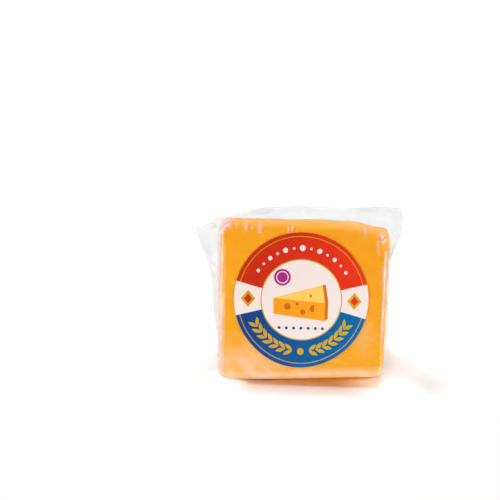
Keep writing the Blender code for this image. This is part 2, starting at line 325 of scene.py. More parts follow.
def closed_outline(cell):
    """The whole outline as side, points, normals and swell, starting under the middle."""
    back = half_outline(cell * BACK_CELL)
    front = half_outline(cell)
    side = np.concatenate([np.ones(len(back[0])), -np.ones(len(front[0]) - 2)])
    both = [np.concatenate([one, other[-2:0:-1]]) for one, other in zip(back, front)]
    return side, *both


def out_of_true(x, y, z):
    """Bend points of the straight wedge to the real, slightly slumped block."""
    past = x - RIDGE_DIP_START
    dip = RIDGE_DIP_SLOPE * 0.5 * (past + np.sqrt(past ** 2 + RIDGE_DIP_BLEND ** 2))
    upper = rise(RIDGE_DIP_FLOOR, HEIGHT, z)
    foot = fall(0.0, FOOT_BAND, z)
    near_end = np.clip((np.abs(x) - (LENGTH / 2 - END_BAND)) / END_BAND, 0.0, 1.0) ** 2
    foot_end = np.clip((np.abs(x) - (LENGTH / 2 - FOOT_END_BAND)) / FOOT_END_BAND, 0.0, 1.0) ** 2
    tip_drop = np.where(x < 0.0, *TIP_DROPS)
    foot_lift = np.where(x < 0.0, *FOOT_LIFTS)
    twist = RIND_TWIST * (2.0 * x / LENGTH) * rise(*TWIST_REACH, -y)
    z_new = z - (dip + tip_drop * near_end) * upper + (foot_lift * foot_end + twist) * foot
    sag = FRONT_FOOT_SAG * rise(*SAG_REACH, -y)
    z_new = z_new - sag * fall(-LENGTH / 2, LENGTH / 2, x) * foot
    pull = RIGHT_FOOT_PULL * (1.0 - np.minimum(z / HEIGHT, 1.0))
    x_new = x - pull * rise(0.0, LENGTH / 2, x)
    return np.stack(np.broadcast_arrays(x_new, y, z_new), axis=-1)


def skin_points(x, side, points, normals, swell, out):
    """Points of the skin at X, moved out of its face by out. The sagging foot stays on the
    floor, and what lies inside the skin stays that far above it."""
    height = points[..., 1]
    waves = np.sin(x * 95.0 + 0.7) * np.sin(height * 70.0 + 1.1)
    waves = waves + 0.6 * np.sin(x * 190.0 + height * 60.0)
    lift = out + UNEVENNESS * waves * rise(*UNEVEN_HEIGHTS, height)
    lift = lift + FACE_CROWN * swell * (1.0 - (2.0 * x / LENGTH) ** 2)
    distance = np.hypot(x - KNOT_PLACE[0], height - KNOT_PLACE[1])
    lift = lift + KNOT_HEIGHT * np.exp(-(distance / KNOT_RADIUS) ** 2)
    y = side * (points[..., 0] + normals[..., 0] * lift)
    bent = out_of_true(x, y, height + normals[..., 1] * lift)
    bent[..., 2] = np.maximum(bent[..., 2], -out)
    return bent


def stations(left, right, radius, cell):
    """X and inset of each loop from the left end to the right one, with rounded ends."""
    angles = np.linspace(0.0, math.pi / 2, END_STEPS + 1)
    along = radius * (1.0 - np.cos(angles))
    inset = radius * (1.0 - np.sin(angles))
    count = round((right - left - 2.0 * radius) / cell)
    middle = np.linspace(left + radius, right - radius, count + 1)[1:-1]
    x = np.concatenate([left + along, middle, (right - along)[::-1]])
    return x, np.concatenate([inset, np.zeros(len(middle)), inset[::-1]])


def new_object(name, data):
    """An object of the scene, with its mesh, light or camera data."""
    thing = bpy.data.objects.new(name, data)
    bpy.context.scene.collection.objects.link(thing)
    return thing


def new_piece(name, points, faces, *materials):
    """A smooth mesh object."""
    mesh = bpy.data.meshes.new(name)
    mesh.from_pydata(np.asarray(points, dtype=float).tolist(), [], faces)
    for material in materials:
        mesh.materials.append(material)
    mesh.shade_smooth()
    return new_object(name, mesh)


def loft(rows, count):
    """Faces that join each closed loop of count points to the next."""
    start = np.arange(rows - 1)[:, None] * count
    near = start + np.arange(count)
    side = start + (np.arange(count) + 1) % count
    return np.stack([near, side, side + count, near + count], axis=-1).reshape(-1, 4).tolist()


def end_rings(rim, rim_haze, end, cell, crown, look):
    """Rings from the rim of an end in to its middle, where the last one is, with their haze."""
    middle = rim.mean(axis=0)
    rings = []
    hazes = []
    steps = max(8, round(END_REACH / cell))
    for step in range(1, steps + 1):
        share = 1.0 - step / steps
        ring = middle + (rim - middle) * share
        bump, haze = look(ring[:, 1], ring[:, 2], end)
        inward = fall(END_RIM, 1.0, share)
        ring[:, 0] += end * (crown * (1.0 - share ** 2) + bump * inward)
        rings.append(ring)
        hazes.append(rim_haze + (haze - rim_haze) * inward)
    return rings, hazes


def wedge_piece(name, material, ends, radius, inset, cell, crown, face_look, end_look):
    """A closed wedge. face_look and end_look give the relief and the haze of its surfaces."""
    side, points, normals, swell = closed_outline(cell)
    count = len(side)
    x, end_inset = stations(*ends, radius, cell)
    x = x[:, None]
    relief, haze = face_look(x, side * points[:, 0], points[:, 1])
    haze = np.broadcast_to(haze, (len(x), count))
    body = skin_points(x, side, points, normals, swell, relief - inset - end_inset[:, None])
    left, left_haze = end_rings(body[0], haze[0], -1.0, cell, crown, end_look)
    right, right_haze = end_rings(body[-1], haze[-1], 1.0, cell, crown, end_look)
    tips = [left.pop()[0], right.pop()[0]]
    tip_hazes = [left_haze.pop()[0], right_haze.pop()[0]]
    loops = left[::-1] + list(body) + right
    faces = loft(len(loops), count)
    total = len(loops) * count
    for column in range(count):
        following = (column + 1) % count
        faces.append((total, following, column))
        faces.append((total + 1, total - count + column, total - count + following))
    piece = new_piece(name, np.vstack(loops + tips), faces, material)
    store_haze(piece, np.concatenate(left_haze[::-1] + list(haze) + right_haze + [tip_hazes]))
    return piece


def store_haze(piece, values):
    """Keep how milky or pale each point is, painted highlights and reflections included, for the
    piece's material.
    """
    layer = piece.data.attributes.new("haze", "FLOAT", "POINT")
    layer.data.foreach_set("value", np.clip(values, 0.0, 1.0).astype(np.float32))


# Film and haze on the faces and ends

def front_relief(x, z):
    """Folds of the film on the labelled face: their height, and how white they look. The
    whiteness is painted highlight, partly also film whitened at its creases.
    """
    height = 0.0
    white = 0.0
    # each fold's whiteness is painted highlight, partly also film whitened at its crease
    for places, width, bulge, paleness in FRONT_FOLDS_AND_HIGHLIGHTS:
        crest = fold(x, z, places, width)
        height = height + bulge * crest
        white = np.maximum(white, paleness * crest)
    return height, white


def back_relief(x, z):
    """Folds of the film on the other face: pleats under the ridge and lines by both ends, whose
    whiteness is painted highlight, partly also film whitened at its creases.
    """
    random = np.random.default_rng(11)
    height = 0.0
    white = 0.0
    for number in range(PLEATS):
        top = FIRST_PLEAT + PLEAT_STEP * number + random.uniform(-0.003, 0.003)
        length = random.uniform(0.005, 0.012)
        lean = random.uniform(-0.002, 0.002)
        width = random.uniform(0.0007, 0.0012)
        crest = fold(x, z, [(top, PLEAT_TOP), (top + lean, PLEAT_TOP - length)], width)
        height = height + PLEAT_RISE * width * crest
        white = white + BACK_WHITENESS * crest
    for line_x in BACK_LINES:
        crest = np.exp(-((x - line_x - 0.0005 * np.sin(z * 80.0)) / BACK_LINE_WIDTH) ** 2)
        crest = crest * rise(0.012, 0.030, z) * fall(0.098, 0.108, z)
        height = height + BACK_LINE_RISE * crest
        white = white + BACK_WHITENESS * crest
    return height, white


def blend(front, back, y, reach):
    """The front value on the front half and the back value behind it, mixed near the middle."""
    return front + (back - front) * rise(-reach, reach, y)


def film_face(x, y, z):
    """Relief and haze of the film on both faces, the ridge and the foot; the haze takes in the
    folds' painted highlights.
    """
    front_height, front_white = front_relief(x, z)
    back_height, back_white = back_relief(x, z)
    small = FILM_GRAIN * ripple((x, y, z), 0.009, 3)
    height = blend(front_height, back_height, y, FILM_BLEND) + small * rise(0.004, 0.014, z)
    left_edge = fall(*LEFT_EDGE, x)
    low = fall(0.040, 0.056, z)
    haze = FILM_HAZE + LEFT_EDGE_HAZE * left_edge + RIGHT_EDGE_HAZE * rise(*RIGHT_EDGE, x)
    haze = haze + LOW_LEFT_HAZE * left_edge * low * rise(0.006, 0.026, -y)
    return height, np.maximum(haze, blend(front_white, back_white, y, FILM_BLEND))


def film_end(y, z, end):
    """Relief and haze of the film over an end of the wedge, with its gusset folds, whose
    whiteness is painted highlight, partly also film whitened at its creases.
    """
    across = y * -end
    height = END_SEAM * np.exp(-np.abs(y) / END_SEAM_WIDTH)
    white = 0.0
    lines = list(END_FOLDS)
    for number in range(RUNGS):
        level = FIRST_RUNG + RUNG_STEP * number
        lines.append(([(-0.0010, level), (0.0065, level + 0.0012)], 0.0008, 0.0004))
    for places, width, bulge in lines:
        crest = fold(across, z, places, width)
        height = height + bulge * crest
        white = white + END_WHITENESS * crest
    height = height + END_UNEVENNESS * ripple((y, z + 0.5 * end), 0.013, 7)
    mottled = rise(-0.8, 1.2, ripple((y, z - 0.4 * end), 0.022, 9))
    return height, END_HAZE + END_MOTTLING * mottled + white


def foot_reflection_band(x, z):
    """The painted reflection of the floor along the foot: its body, which fades out upwards, and
    its sharper rim.
    """
    top = FOOT_HEIGHT + FOOT_RISE * rise(-0.030, 0.030, x)
    above_floor = rise(0.0030, 0.0055, z)
    body = above_floor * fall(-0.0040, 0.0010, z - top)
    rim = above_floor * fall(-0.0008, 0.0008, z - top)
    return body, rim


def ridge_highlight_band(x, z):
    """The painted highlight along the ridge, which gets wider towards the right."""
    wider = rise(0.1050, 0.1125, z) * rise(0.015, 0.030, x)
    return 1.1 * rise(0.1095, 0.1135, z) + 0.5 * wider


def left_strip(x, z):
    """The pale strip along the left side of the front, palest a little under half way up."""
    above = rise(*STRIP_TOP, z)
    inner = STRIP_EDGE - 0.0030 * above - 0.0004 * fall(0.036, 0.044, z)
    inside = fall(inner - 0.0005, inner + 0.0005, x)
    paleness = STRIP_BLOOM + 0.20 * rise(0.044, 0.047, z)
    paleness = paleness - 0.45 * rise(0.0635, 0.0655, z)
    return inside * paleness * (1.0 - above)


def front_paleness_and_sheen(x, z):
    """How pale the cheese looks on the labelled face, painted reflections and highlight included.
    """
    mottled = rise(-0.7, 1.0, ripple((x, z), 0.016, 21))
    slanting = rise(-0.8, 0.9, ripple((x + z, 0.35 * (x - z)), 0.011, 24))
    lower = fall(0.010, 0.042, z)
    even, blotches, streaks = CLOUDS
    cloudy = even + blotches * mottled + streaks * slanting
    cloudy = lower * fall(-0.046, 0.010, x) * cloudy
    # painted reflection of the floor along the foot
    foot, foot_rim = foot_reflection_band(x, z)
    foot = FOOT_REFLECTION * foot + FOOT_RIM_REFLECTION * foot_rim
    (patch_x, patch_z), (width, height) = PATCH_PLACE, PATCH_SIZE
    patch = PATCH_BLOOM * np.exp(-((x - patch_x) / width) ** 2 - ((z - patch_z) / height) ** 2)
    ridge = RIDGE_HIGHLIGHT * ridge_highlight_band(x, z)
    return LOW_REFLECTION * lower + cloudy + foot + ridge + patch + left_strip(x, z)


def back_paleness_and_sheen(x, z):
    """The same on the other face."""
    mottled = rise(-0.7, 1.0, ripple((x, z), 0.016, 21))
    slanting = rise(-1.2, 1.2, ripple((x * 1.6, z * 0.5), 0.020, 22))
    broad = rise(-1.0, 1.2, ripple((x, z), 0.035, 23))
    even, blotches, streaks = BACK_CLOUDS
    lower = fall(0.006, 0.080, z)
    cloudy = lower * (even + blotches * broad + streaks * mottled * slanting)
    upper = BACK_UPPER_BLOOM * broad * fall(0.070, 0.085, z)
    edge = rise(0.0530, 0.0580, np.abs(x)) * fall(0.085, 0.100, z)
    # painted reflection of the floor along the foot
    foot, _ = foot_reflection_band(x, z)
    pale = cloudy + BACK_FOOT_REFLECTION * foot + BACK_EDGE_BLOOM * edge + upper
    return pale + RIDGE_HIGHLIGHT * ridge_highlight_band(x, z)


def face_paleness_and_sheen(x, y, z):
    """No relief, and where the cheese looks paler on both faces, the ridge and the foot, partly
    as painted reflection and highlight.
    The faces merge over a wide band under the foot and a narrow one along the ridge."""
    reach = LOW_BLEND + (RIDGE_BLEND - LOW_BLEND) * rise(0.080, 0.100, z)
    return 0.0, blend(front_paleness_and_sheen(x, z), back_paleness_and_sheen(x, z), y, reach)


def bloom_end(y, z, end):
    """The same over the ends, where the film stands off the cheese."""
    mottled = rise(-0.8, 1.0, ripple((y, z + 0.2 * end), 0.018, 31))
    return 0.0, END_BLOOM * (1.0 + mottled)


# Materials

CHEESE_DEEP = (0.94, 0.380, 0.007, 1.0)
CHEESE_LIGHT = (0.95, 0.430, 0.014, 1.0)
CHEESE_SHADED_LOW = (0.875, 0.418, 0.010, 1.0)  # painted shade: darker towards the foot, from the height below down, to hold back the light the floor throws up
LOW_SHADE_TOP = 0.060
CHEESE_PALE_AND_SHEEN = (0.94, 0.68, 0.50, 1.0)  # where the film clings less, and for painted reflection and highlight
SKIN_FILM = {
    # milky film, its pink tint painted warm light that the cheese throws on it
    "milky": (0.90, 0.79, 0.79, 1.0),
    "bare": (0.985, 0.985, 0.985, 1.0),
    "clear": (0.985, 0.985, 0.985, 1.0),
    "passing": 0.2,
    "relief": 0.30,
    "cloud_size": 0.005,
    "cloud_change": 0.25,
}
EDGE_FILM = {
    "milky": (0.86, 0.86, 0.86, 1.0),
    "bare": (1.0, 1.0, 1.0, 1.0),
    "clear": (0.889, 0.895, 0.898, 1.0),
    "passing": 0.5,
    "relief": 0.05,
    "cloud_size": 0.030,
    "cloud_change": 0.07,
}
BARE_HAZE = 0.12  # from here down to 0, clear film grows bare
FILM_SHINE = (0.97, 0.94, 1.0, 1.0)
FLOOR_COLOURS = ((0.71, 0.71, 0.71, 1.0), (0.72, 0.72, 0.72, 1.0))
FLOOR_GLOW_REACH = (0.50, 1.60)  # from no glow to all of it
FLOOR_GLOW = 0.60
WHITE = (1.0, 1.0, 1.0, 1.0)


def add_node(tree, kind, inputs=None, **settings):
    """A new shader node. Each input is a value, or the socket that feeds it."""
    node = tree.nodes.new(kind)
    for name, value in settings.items():
        setattr(node, name, value)
    for name, value in (inputs or {}).items():
        if isinstance(value, bpy.types.NodeSocket):
            tree.links.new(value, node.inputs[name])
        else:
            node.inputs[name].default_value = value
    return node


def new_material(name):
    """A material with an empty tree, its tree, its output and the object's own coordinates."""
    material = bpy.data.materials.new(name)
    material.use_nodes = True
    tree = material.node_tree
    tree.nodes.clear()
    output = add_node(tree, "ShaderNodeOutputMaterial")
    place = add_node(tree, "ShaderNodeTexCoord").outputs["Object"]
    return material, tree, output, place


def noise(tree, place, size, detail, stretch=(1.0, 1.0, 1.0)):
    """A noise value whose blotches are about size across."""
    mapping = add_node(tree, "ShaderNodeMapping", {"Vector": place, "Scale": stretch})
    settings = {"Vector": mapping.outputs["Vector"], "Scale": 1.0 / size, "Detail": detail}
    return add_node(tree, "ShaderNodeTexNoise", settings).outputs["Fac"]


def spread(tree, value, low, high, new_low, new_high):
    """The value, moved from one range to another and kept inside it."""
    names = ("Value", "From Min", "From Max", "To Min", "To Max")
    inputs = dict(zip(names, (value, low, high, new_low, new_high)))
    return add_node(tree, "ShaderNodeMapRange", inputs).outputs["Result"]


def calculate(tree, operation, first, second):
    """One sum of two values."""
    node = add_node(tree, "ShaderNodeMath", {0: first, 1: second}, operation=operation)
    return node.outputs["Value"]


def dot_product(tree, first, second):
    """How far one direction goes along the other."""
    inputs = {0: first, 1: second}
    node = add_node(tree, "ShaderNodeVectorMath", inputs, operation="DOT_PRODUCT")
    return node.outputs["Value"]


def mix_colours(tree, share, first, second):
    """A colour between two others."""
    inputs = {"Factor": share, 6: first, 7: second}
    return add_node(tree, "ShaderNodeMix", inputs, data_type="RGBA").outputs[2]


def add_bump(tree, place, size, detail, strength, depth):
    """The normal of a surface with fine random relief."""
    inputs = {"Height": noise(tree, place, size, detail), "Strength": strength, "Distance": depth}
    return add_node(tree, "ShaderNodeBump", inputs).outputs["Normal"]


def mix_shaders(tree, share, first, second):
    """A shader between two others."""
    inputs = {"Fac": share, 1: first, 2: second}
    return add_node(tree, "ShaderNodeMixShader", inputs).outputs["Shader"]


def cover(tree, output, inputs):
    """End the tree of a solid thing with its one shader."""
    shader = add_node(tree, "ShaderNodeBsdfPrincipled", inputs)
    tree.links.new(shader.outputs["BSDF"], output.inputs["Surface"])


def cheese_material():
    """Orange-yellow cheese with faint mottling, paler where the film clings less and where
    reflection and highlight are painted on, and darker towards the foot as painted shade.
    """
    material, tree, output, place = new_material("cheese")
    haze = add_node(tree, "ShaderNodeAttribute", attribute_name="haze").outputs["Fac"]
    cloud = spread(tree, noise(tree, place, 0.010, 4.0), 0.35, 0.65, 0.78, 1.22)
    # the haze attribute holds paleness where the film clings less, and painted reflections and
    # highlight
    bloom = calculate(tree, "MULTIPLY", haze, cloud)
    grain = spread(tree, noise(tree, place, 0.006, 5.0), 0.3, 0.7, 0.0, 1.0)
    body = mix_colours(tree, grain, CHEESE_DEEP, CHEESE_LIGHT)
    # painted shade: the body gets darker towards the foot
    height = add_node(tree, "ShaderNodeSeparateXYZ", {"Vector": place}).outputs["Z"]
    low = spread(tree, height, 0.0, LOW_SHADE_TOP, 1.0, 0.0)
    body = mix_colours(tree, low, body, CHEESE_SHADED_LOW)
    inputs = {
        "Base Color": mix_colours(tree, bloom, body, CHEESE_PALE_AND_SHEEN),
        "Roughness": 0.5,
        "Subsurface Weight": 0.6,
        "Subsurface Radius": (1.0, 0.6, 0.2),
        "Subsurface Scale": 0.0015,
        "Specular IOR Level": 0.05,
        "Normal": add_bump(tree, place, 0.0022, 4.0, 0.25, 0.0004),
    }
    cover(tree, output, inputs)
    return material


def film_material(name, milky, bare, clear, passing, relief, cloud_size, cloud_change):
    """Clear glossy film that is milky where its haze says so, and clearest where it is bare
    of any haze. Its milk lets the share passing through and throws the rest back."""
    material, tree, output, place = new_material(name)
    haze = add_node(tree, "ShaderNodeAttribute", attribute_name="haze").outputs["Fac"]
    clouds = noise(tree, place, cloud_size, 4.0)
    cloud = spread(tree, clouds, 0.3, 0.7, 1.0 - cloud_change, 1.0 + cloud_change)
    # the haze holds painted highlights along the folds as well as the film's milkiness
    amount = calculate(tree, "MULTIPLY", haze, cloud)
    bump = add_bump(tree, place, 0.004, 3.0, relief, 0.0003)
    colour = clear
    if bare != clear:
        some_haze = spread(tree, haze, 0.0, BARE_HAZE, 0.0, 1.0)
        colour = mix_colours(tree, some_haze, bare, clear)
    glass = add_node(tree, "ShaderNodeBsdfTransparent", {"Color": colour}).outputs["BSDF"]
    near = add_node(tree, "ShaderNodeBsdfDiffuse", {"Color": milky, "Normal": bump})
    through = add_node(tree, "ShaderNodeBsdfTranslucent", {"Color": milky})
    milk = mix_shaders(tree, passing, near.outputs["BSDF"], through.outputs["BSDF"])
    body = mix_shaders(tree, amount, glass, milk)
    inputs = {"Color": FILM_SHINE, "Roughness": 0.13, "Normal": bump}
    shine = add_node(tree, "ShaderNodeBsdfGlossy", inputs).outputs["BSDF"]
    facing = add_node(tree, "ShaderNodeLayerWeight", {"Blend": 0.5, "Normal": bump})
    steep = calculate(tree, "POWER", facing.outputs["Facing"], 5.0)
    gloss = spread(tree, steep, 0.0, 1.0, 0.035, 0.16)
    tree.links.new(mix_shaders(tree, gloss, body, shine), output.inputs["Surface"])
    return material


def print_material(name, first, second):
    """Glossy printed paper whose colour runs from one to the other across the label, partly as
    print and partly as a painted sheen towards the right.
    """
    material, tree, output, place = new_material(name)
    run = spread(tree, dot_product(tree, place, INK_RUN_AND_SHEEN), -1.0, 1.0, 0.0, 1.0)
    streaks = noise(tree, place, 0.004, 3.0, (0.15, 1.0, 1.6))
    share = calculate(tree, "ADD", run, spread(tree, streaks, 0.3, 0.7, -0.08, 0.08))
    inputs = {
        "Base Color": mix_colours(tree, share, (*first, 1.0), (*second, 1.0)),
        "Roughness": 0.25,
        "Specular IOR Level": 0.12,
        "Normal": add_bump(tree, place, 0.0030, 3.0, 0.15, 0.0002),
    }
    cover(tree, output, inputs)
    return material


def floor_material():
    """Plain pale floor. Far away it glows a little, so that it ends as pale as the room."""
    material, tree, output, place = new_material("floor")
    shade = spread(tree, noise(tree, place, 0.5, 2.0), 0.3, 0.7, 0.0, 1.0)
    length = add_node(tree, "ShaderNodeVectorMath", {0: place}, operation="LENGTH")
    glow = spread(tree, length.outputs["Value"], *FLOOR_GLOW_REACH, 0.0, FLOOR_GLOW)
    inputs = {
        "Base Color": mix_colours(tree, shade, *FLOOR_COLOURS),
        "Roughness": 0.8,
        "Specular IOR Level": 0.1,
        "Emission Color": WHITE,
        "Emission Strength": glow,
    }
    cover(tree, output, inputs)
    return material


# Pieces of the wedge

def make_cheese():
    """The block of cheese."""
    ends = (CHEESE_END_GAP - LENGTH / 2, LENGTH / 2 - CHEESE_END_GAP)
    return wedge_piece(
        "cheese", cheese_material(), ends, CHEESE_END_RADIUS, CHEESE_INSET, CHEESE_CELL,
        CHEESE_CROWN, face_paleness_and_sheen, bloom_end,
    )


def make_film_skin(material):
    """The film drawn tight over the cheese."""
    return wedge_piece(
        "film_skin", material, (-LENGTH / 2, LENGTH / 2), END_RADIUS, 0.0, FILM_CELL, END_CROWN,
        film_face, film_end,
    )


def curve_through(knots, share):
    """A point of the smooth curve through the knots, at a share of its length in knots."""
    place = share * (len(knots) - 1)
    first = min(int(place), len(knots) - 2)
    part = place - first
    before = Vector(knots[max(first - 1, 0)])
    start = Vector(knots[first])
    end = Vector(knots[first + 1])
    after = Vector(knots[min(first + 2, len(knots) - 1)])
    point = start * 2.0 + (end - before) * part
    point += (before * 2.0 - start * 5.0 + end * 4.0 - after) * part ** 2
    point += (start * 3.0 - before - end * 3.0 + after) * part ** 3
    return point * 0.5


def fin_root(arm):
    """The place where a line from the focus along arm meets the skin of the wedge."""
    reach = LENGTH / 2 / abs(arm.x)
    if arm.y > 0.0:
        for _ in range(4):
            x = np.array(arm.x * reach)
            ridge = float(out_of_true(x, np.array(0.0), np.array(HEIGHT))[..., 2])
            reach = min(LENGTH / 2 / abs(arm.x), (ridge - FIN_FOCUS[1]) / arm.y)
    return Vector(FIN_FOCUS) + arm * reach * FIN_ROOT_DEPTH


def fin_haze(x, z, row, root_height):
    """How milky the film edges are: their welded band and rim most, and their root over
    the ridge not at all."""
    start, full, fading, end = FIN_SEAL
    seal = rise(start, full, row) * fall(fading, end, row)
    mottled = rise(-0.5, 1.5, ripple((x, z), 0.020, 42))
    haze = FIN_HAZE + FIN_SEAL_HAZE * seal + FIN_MOTTLING * mottled
    haze = haze + FIN_RIM_HAZE * rise(0.95, 1.0, row)
    over_ridge = rise(0.100, 0.106, root_height)
    return haze * (1.0 - over_ridge * fall(0.04, 0.10, row))


def make_film_edges(material):
    """The two sealed layers of film that stand out round the ridge and both ends."""
    share = np.linspace(0.0, 1.0, FIN_COLUMNS + 1)[:, None]
    row = np.linspace(0.0, 1.0, FIN_ROWS + 1)[None, :]
    edges = [curve_through(FIN_EDGE, column / FIN_COLUMNS) for column in range(FIN_COLUMNS + 1)]
    roots = np.array([fin_root(edge - Vector(FIN_FOCUS)) for edge in edges])[:, None, :]
    edges = np.array(edges)[:, None, :]
    flat = roots + (edges - roots) * row[..., None]
    x = flat[..., 0]
    z = flat[..., 1]
    wave = FIN_WAVE * np.sin(2.0 * math.pi * FIN_WAVES * share + FIN_WAVE_START) * row ** 2
    lean = FLAP_LEAN * row ** 2 * fall(*FLAP_REACH, edges[..., 0])
    y = wave + lean + FIN_CRINKLE * ripple((x, z), 0.016, 41) * rise(0.0, 0.4, row)
    half = FIN_THICKNESS / 2
    back, front = (np.stack([x, y + depth, z], axis=-1) for depth in (half, -half))
    loops = np.concatenate([back, front[:, ::-1]], axis=1)
    count = loops.shape[1]
    faces = loft(FIN_COLUMNS + 1, count)
    last = FIN_COLUMNS * count
    for number in range(FIN_ROWS):
        other = count - 1 - number
        faces.append((number + 1, number, other, other - 1))
        faces.append((last + number, last + number + 1, last + other - 1, last + other))
    piece = new_piece("film_edges", loops.reshape(-1, 3), faces, material)
    haze = fin_haze(x, z, row, roots[..., 1])
    store_haze(piece, np.concatenate([haze, haze[:, ::-1]], axis=1).ravel())
    piece.visible_shadow = False  # film as thin and clear as this casts hardly any shadow
    return piece


# Label

LABEL_X = -0.0008
LABEL_RADIUS = 0.0485
LABEL_HEIGHT = 0.060  # of its centre
LABEL_BOTTOM = 0.00003  # above the film
LABEL_TOP = 0.00022
INK = 0.00002  # thickness of each layer of print
RING_INNER = 0.600 * LABEL_RADIUS
RING_MIDDLE = 0.77 * LABEL_RADIUS  # the dots and leaves stand on this circle
RING_START = 15.0  # of the red field, in degrees above the right side of the label
RING_TURN = 150.0  # of either field
INNER_LINE = (0.590 * LABEL_RADIUS, 0.606 * LABEL_RADIUS)
OUTER_LINE = (0.935 * LABEL_RADIUS, 0.945 * LABEL_RADIUS)
DOT_STEP = 9.5  # in degrees
DOT_RADIUS = 0.0021  # of the middle one, and how much less each next one has
DOT_FALL = 0.00014
SMALL_DOT_RADIUS = 0.0009
FIRST_LEAF = 9.0  # in degrees from the lowest point
LEAF_STEP = 8.0
LEAF_LEAN = 0.55  # in radians to either side of the stalk
LEAF_LENGTH = 0.0074
LEAF_WIDTH = 0.0026
BERRY_RADIUS = 0.0024
LOZENGE_PLACE = 0.79 * LABEL_RADIUS
LOZENGES = ((0.0052, "gold", 1), (0.0030, "red", 2))
LOZENGE_TIPS = ((1.0, 0.0), (0.0, 1.2), (-1.0, 0.0), (0.0, -1.2))
BUTTON_PLACE = (-0.0140, 0.0160)
BUTTON = ((0.0060, "magenta", 3), (0.0044, "cream", 4), (0.0038, "magenta", 5))
ROW_STEP = 0.0052
ROW_HEIGHT = -0.0205
ROW_DOT_RADIUS = 0.0011

# The drawn cheese: its corners and the centres and radii of its holes
TIP = (-0.0200, 0.0010)
TIP_TWIN = (-0.0199, 0.0011)
TIP_LOW = (-0.0200, -0.0105)
NEAR = (0.0170, -0.0020)
NEAR_LOW = (0.0170, -0.0150)
FAR = (0.0150, 0.0110)
RIND_NEAR = (0.0192, 0.0000)
RIND_LOW = (0.0192, -0.0132)
RIND_FAR = (0.0170, 0.0118)
HOLES = (
    ((-0.0100, -0.0050), 0.0024),
    ((0.0010, -0.0088), 0.0019),
    ((0.0085, -0.0062), 0.0027),
    ((-0.0030, -0.0030), 0.0012),
    ((0.0060, 0.0030), 0.0013),
)

# Each ink runs from its first colour to its second this way across the label, darker on the left
# and lighter on the right: partly the print's own run, partly a painted sheen
INK_RUN_AND_SHEEN = (20.0, 0.0, -4.0)
COLOURS = {
    "cream": ((0.83, 0.70, 0.66), (0.85, 0.73, 0.69)),
    "red": ((0.54, 0.026, 0.008), (0.84, 0.036, 0.015)),
    "blue": ((0.008, 0.050, 0.22), (0.004, 0.150, 0.37)),
    "gold": ((0.56, 0.33, 0.012), (0.62, 0.39, 0.020)),
    "magenta": ((0.36, 0.025, 0.20), (0.42, 0.035, 0.23)),
    "yellow": ((0.90, 0.52, 0.09), (0.93, 0.62, 0.16)),
    "orange": ((0.86, 0.30, 0.012), (0.93, 0.37, 0.02)),
    "brown": ((0.55, 0.13, 0.008), (0.64, 0.17, 0.012)),
}


def label_points(u, v, lift):
    """Points of the label at u to the right and v up from its centre, above the face by lift."""
    low = np.array(corner_centre()) + OUTWARD * CORNER_RADIUS
    length = math.dist(low, FACE_TOP)
    upward = (FACE_TOP - low) / length
    along = (LABEL_HEIGHT - low[1]) / upward[1] + v
    points = low + upward * along[..., None]
    normals = np.broadcast_to(OUTWARD, points.shape)
    swell = np.sin(math.pi * along / length)
    return skin_points(LABEL_X + u, -1.0, points, normals, swell, lift)


def disc_grid(centre, radius, steps):
    """A round patch as a grid of (u, v) places."""
    line = np.linspace(-1.0, 1.0, steps + 1)
    a, b = np.meshgrid(line, line, indexing="ij")
    u = centre[0] + radius * a * np.sqrt(1.0 - b ** 2 / 2.0)
    v = centre[1] + radius * b * np.sqrt(1.0 - a ** 2 / 2.0)
    return u, v


def sector_grid(inner, outer, first, last):
    """A piece of a ring between two angles in degrees, as a grid of (u, v) places."""
    turns = np.radians(np.linspace(first, last, max(2, round((last - first) / 1.5)) + 1))
    radii = np.linspace(inner, outer, max(1, round((outer - inner) / 0.0030)) + 1)
    return radii[None, :] * np.cos(turns)[:, None], radii[None, :] * np.sin(turns)[:, None]


def quad_grid(*corners):
    """A four-sided patch with the corners in order round it."""
    a, b, c, d = np.array(corners)
    line = np.linspace(0.0, 1.0, 9)[:, None, None]
    s, t = line, line.swapaxes(0, 1)
    grid = (a * (1 - s) + b * s) * (1 - t) + (d * (1 - s) + c * s) * t
    return grid[..., 0], grid[..., 1]


def leaf_grid(start, turn):
    """A pointed leaf from start in the direction of turn, in radians."""
    s = np.linspace(0.02, 0.98, 11)[:, None]
    t = np.linspace(-1.0, 1.0, 5)[None, :]
    along = LEAF_LENGTH * (s + 0.0 * t)
    across = LEAF_WIDTH / 2 * np.sin(math.pi * s) * t
    u = start[0] + along * math.cos(turn) - across * math.sin(turn)
    v = start[1] + along * math.sin(turn) + across * math.cos(turn)
    return u, v


